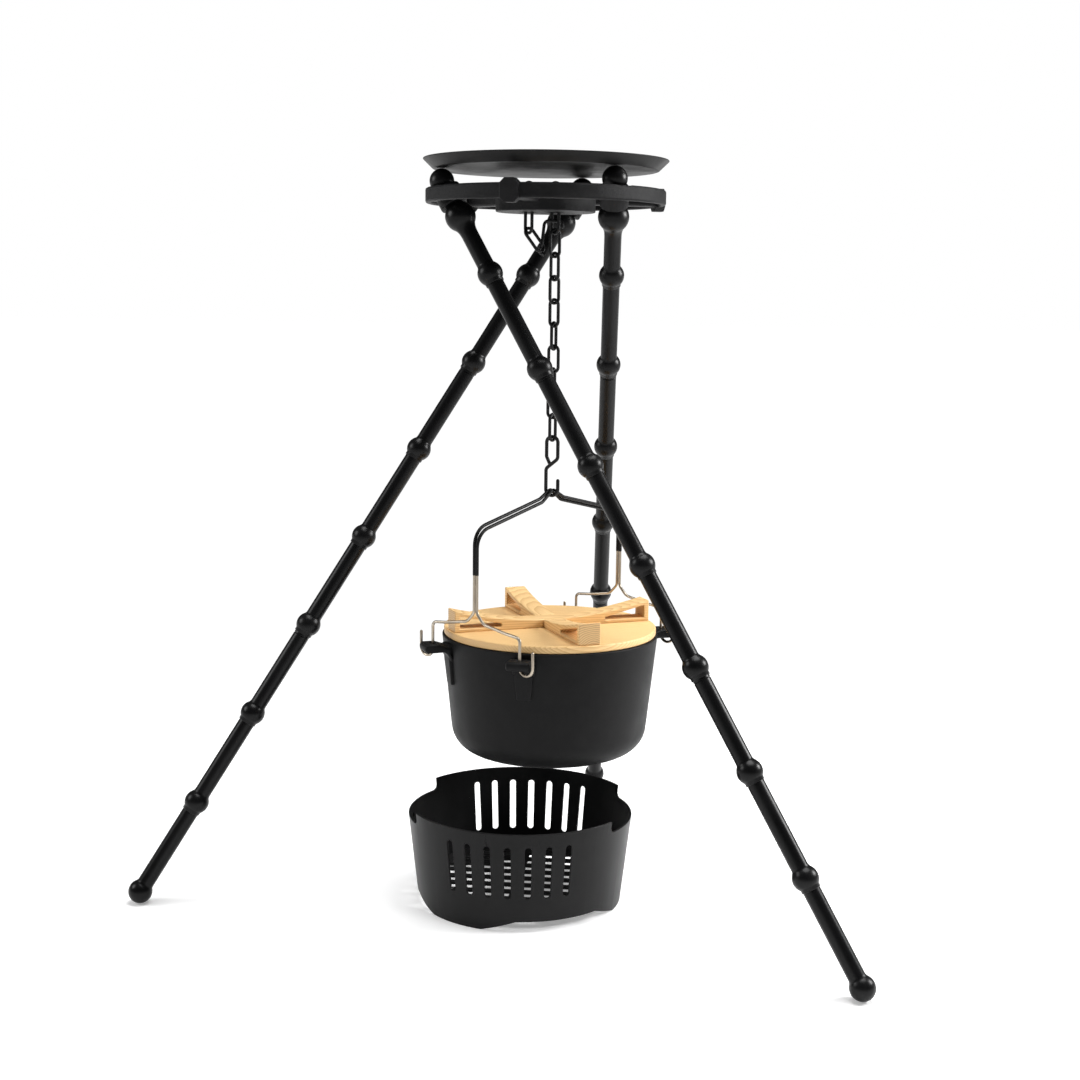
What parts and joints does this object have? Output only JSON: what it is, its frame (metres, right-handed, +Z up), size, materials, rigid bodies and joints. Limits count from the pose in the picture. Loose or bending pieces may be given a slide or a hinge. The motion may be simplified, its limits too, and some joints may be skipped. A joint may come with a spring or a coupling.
{
  "type": "campfire cooking tripod with dutch oven",
  "caption": "Cast iron dutch oven with wooden lid, hung by chain and hook from a tripod with a griddle on top and a fire basket below.",
  "frame": {"origin": "on the ground under the centre of the ring, midway between the three feet's spread", "axes": "+Z up; -Y is the front, where the basket draws out; +X to the right seen from the front"},
  "size_m": [0.8878, 0.8372, 0.9256],
  "materials": {
    "cast_ring": "black, fine as-cast grain",
    "cast_griddle": "black seasoned, fine grain",
    "cast_pot": "matte black seasoned, fine grain",
    "leg_black": "satin black powder coat",
    "chain_black": "satin black",
    "coat_black": "satin black coating",
    "bail_steel": "bare drawn steel wire",
    "screw_steel": "bright steel",
    "lid_wood": "sanded pine, light oil",
    "basket_black": "matte black high-heat paint"
  },
  "bodies": {
    "tripod": {"spider_ring": "cast_ring", "leg_1_upper": "leg_black", "leg_1_middle": "leg_black", "leg_1_lower": "leg_black", "leg_2_upper": "leg_black", "leg_2_middle": "leg_black", "leg_2_lower": "leg_black", "leg_3_upper": "leg_black", "leg_3_middle": "leg_black", "leg_3_lower": "leg_black", "ball_nut_1": "leg_black", "ball_nut_2": "leg_black", "ball_nut_3": "leg_black", "saddle_link": "chain_black", "hub_link": "chain_black", "tail_hub_link": "chain_black"},
    "griddle": {"griddle": "cast_griddle"},
    "chain_loop": {"chain_link_1": "chain_black", "tail_link_1": "chain_black", "tail_link_2": "chain_black", "tail_hook": "chain_black"},
    "link_2": {"chain_link_2": "chain_black"},
    "link_3": {"chain_link_3": "chain_black"},
    "link_4": {"chain_link_4": "chain_black"},
    "link_5": {"chain_link_5": "chain_black"},
    "link_6": {"chain_link_6": "chain_black"},
    "link_7": {"chain_link_7": "chain_black"},
    "link_8": {"chain_link_8": "chain_black"},
    "link_9": {"chain_link_9": "chain_black"},
    "link_10": {"chain_link_10": "chain_black"},
    "pot_hook": {"pot_hook": "chain_black"},
    "bail": {"bail_wire_a": "bail_steel", "bail_wire_b": "bail_steel", "bail_coat_a": "coat_black", "bail_coat_b": "coat_black"},
    "pot": {"pot": "cast_pot"},
    "lid": {"lid_board": "lid_wood", "lid_ring": "lid_wood", "lid_bar_lower": "lid_wood", "lid_bar_upper": "lid_wood", "lid_screws": "screw_steel"},
    "basket": {"basket_shell": "basket_black", "grate_tabs": "basket_black"},
    "grate": {"charcoal_grate": "basket_black"}
  },
  "joints": [
    {"name": "chain_swing_1", "type": "hinge", "parent": "tripod", "child": "chain_loop", "pos_m": [0.012, 0, 0.8663], "axis": [1, 0, 0], "range_deg": [-8, 8]},
    {"name": "chain_swing_2", "type": "hinge", "parent": "chain_loop", "child": "link_2", "pos_m": [0.012, 0, 0.8381], "axis": [-0.6691, 0.7431, 0], "range_deg": [-8, 8]},
    {"name": "chain_swing_3", "type": "hinge", "parent": "link_2", "child": "link_3", "pos_m": [0.012, 0, 0.8099], "axis": [-0.8988, -0.4384, 0], "range_deg": [-8, 8]},
    {"name": "chain_swing_4", "type": "hinge", "parent": "link_3", "child": "link_4", "pos_m": [0.012, 0, 0.7817], "axis": [0.7193, -0.6947, 0], "range_deg": [-8, 8]},
    {"name": "chain_swing_5", "type": "hinge", "parent": "link_4", "child": "link_5", "pos_m": [0.012, 0, 0.7535], "axis": [0.848, 0.5299, 0], "range_deg": [-8, 8]},
    {"name": "chain_swing_6", "type": "hinge", "parent": "link_5", "child": "link_6", "pos_m": [0.012, 0, 0.7253], "axis": [-0.809, 0.5878, 0], "range_deg": [-8, 8]},
    {"name": "chain_swing_7", "type": "hinge", "parent": "link_6", "child": "link_7", "pos_m": [0.012, 0, 0.6971], "axis": [-0.4384, -0.8988, 0], "range_deg": [-8, 8]},
    {"name": "chain_swing_8", "type": "hinge", "parent": "link_7", "child": "link_8", "pos_m": [0.012, 0, 0.6689], "axis": [0.9397, -0.342, 0], "range_deg": [-8, 8]},
    {"name": "chain_swing_9", "type": "hinge", "parent": "link_8", "child": "link_9", "pos_m": [0.012, 0, 0.6407], "axis": [0.309, 0.9511, 0], "range_deg": [-8, 8]},
    {"name": "chain_swing_10", "type": "hinge", "parent": "link_9", "child": "link_10", "pos_m": [0.012, 0, 0.6125], "axis": [-0.9781, 0.2079, 0], "range_deg": [-8, 8]},
    {"name": "hook_swing", "type": "hinge", "parent": "link_10", "child": "pot_hook", "pos_m": [0.012, 0, 0.5843], "axis": [-0.5592, -0.829, 0], "range_deg": [-8, 8]},
    {"name": "bail_swing", "type": "hinge", "parent": "pot_hook", "child": "bail", "pos_m": [0.012, 0, 0.51965], "axis": [0.9511, -0.309, 0], "range_deg": [-8, 8]},
    {"name": "pot_lift", "type": "slide", "parent": "bail", "child": "pot", "axis": [0, 0, 1], "range_m": [0, 0.012]},
    {"name": "lid_lift", "type": "slide", "parent": "pot", "child": "lid", "axis": [0, 0, 1], "range_m": [0, 0.09]},
    {"name": "griddle_lift", "type": "slide", "parent": "tripod", "child": "griddle", "axis": [0, 0, 1], "range_m": [0, 0.1]},
    {"name": "basket_draw", "type": "slide", "parent": "tripod", "child": "basket", "axis": [0, -1, 0], "range_m": [0, 0.3]},
    {"name": "grate_lift", "type": "slide", "parent": "basket", "child": "grate", "axis": [0, 0, 1], "range_m": [0, 0.12]}
  ]
}
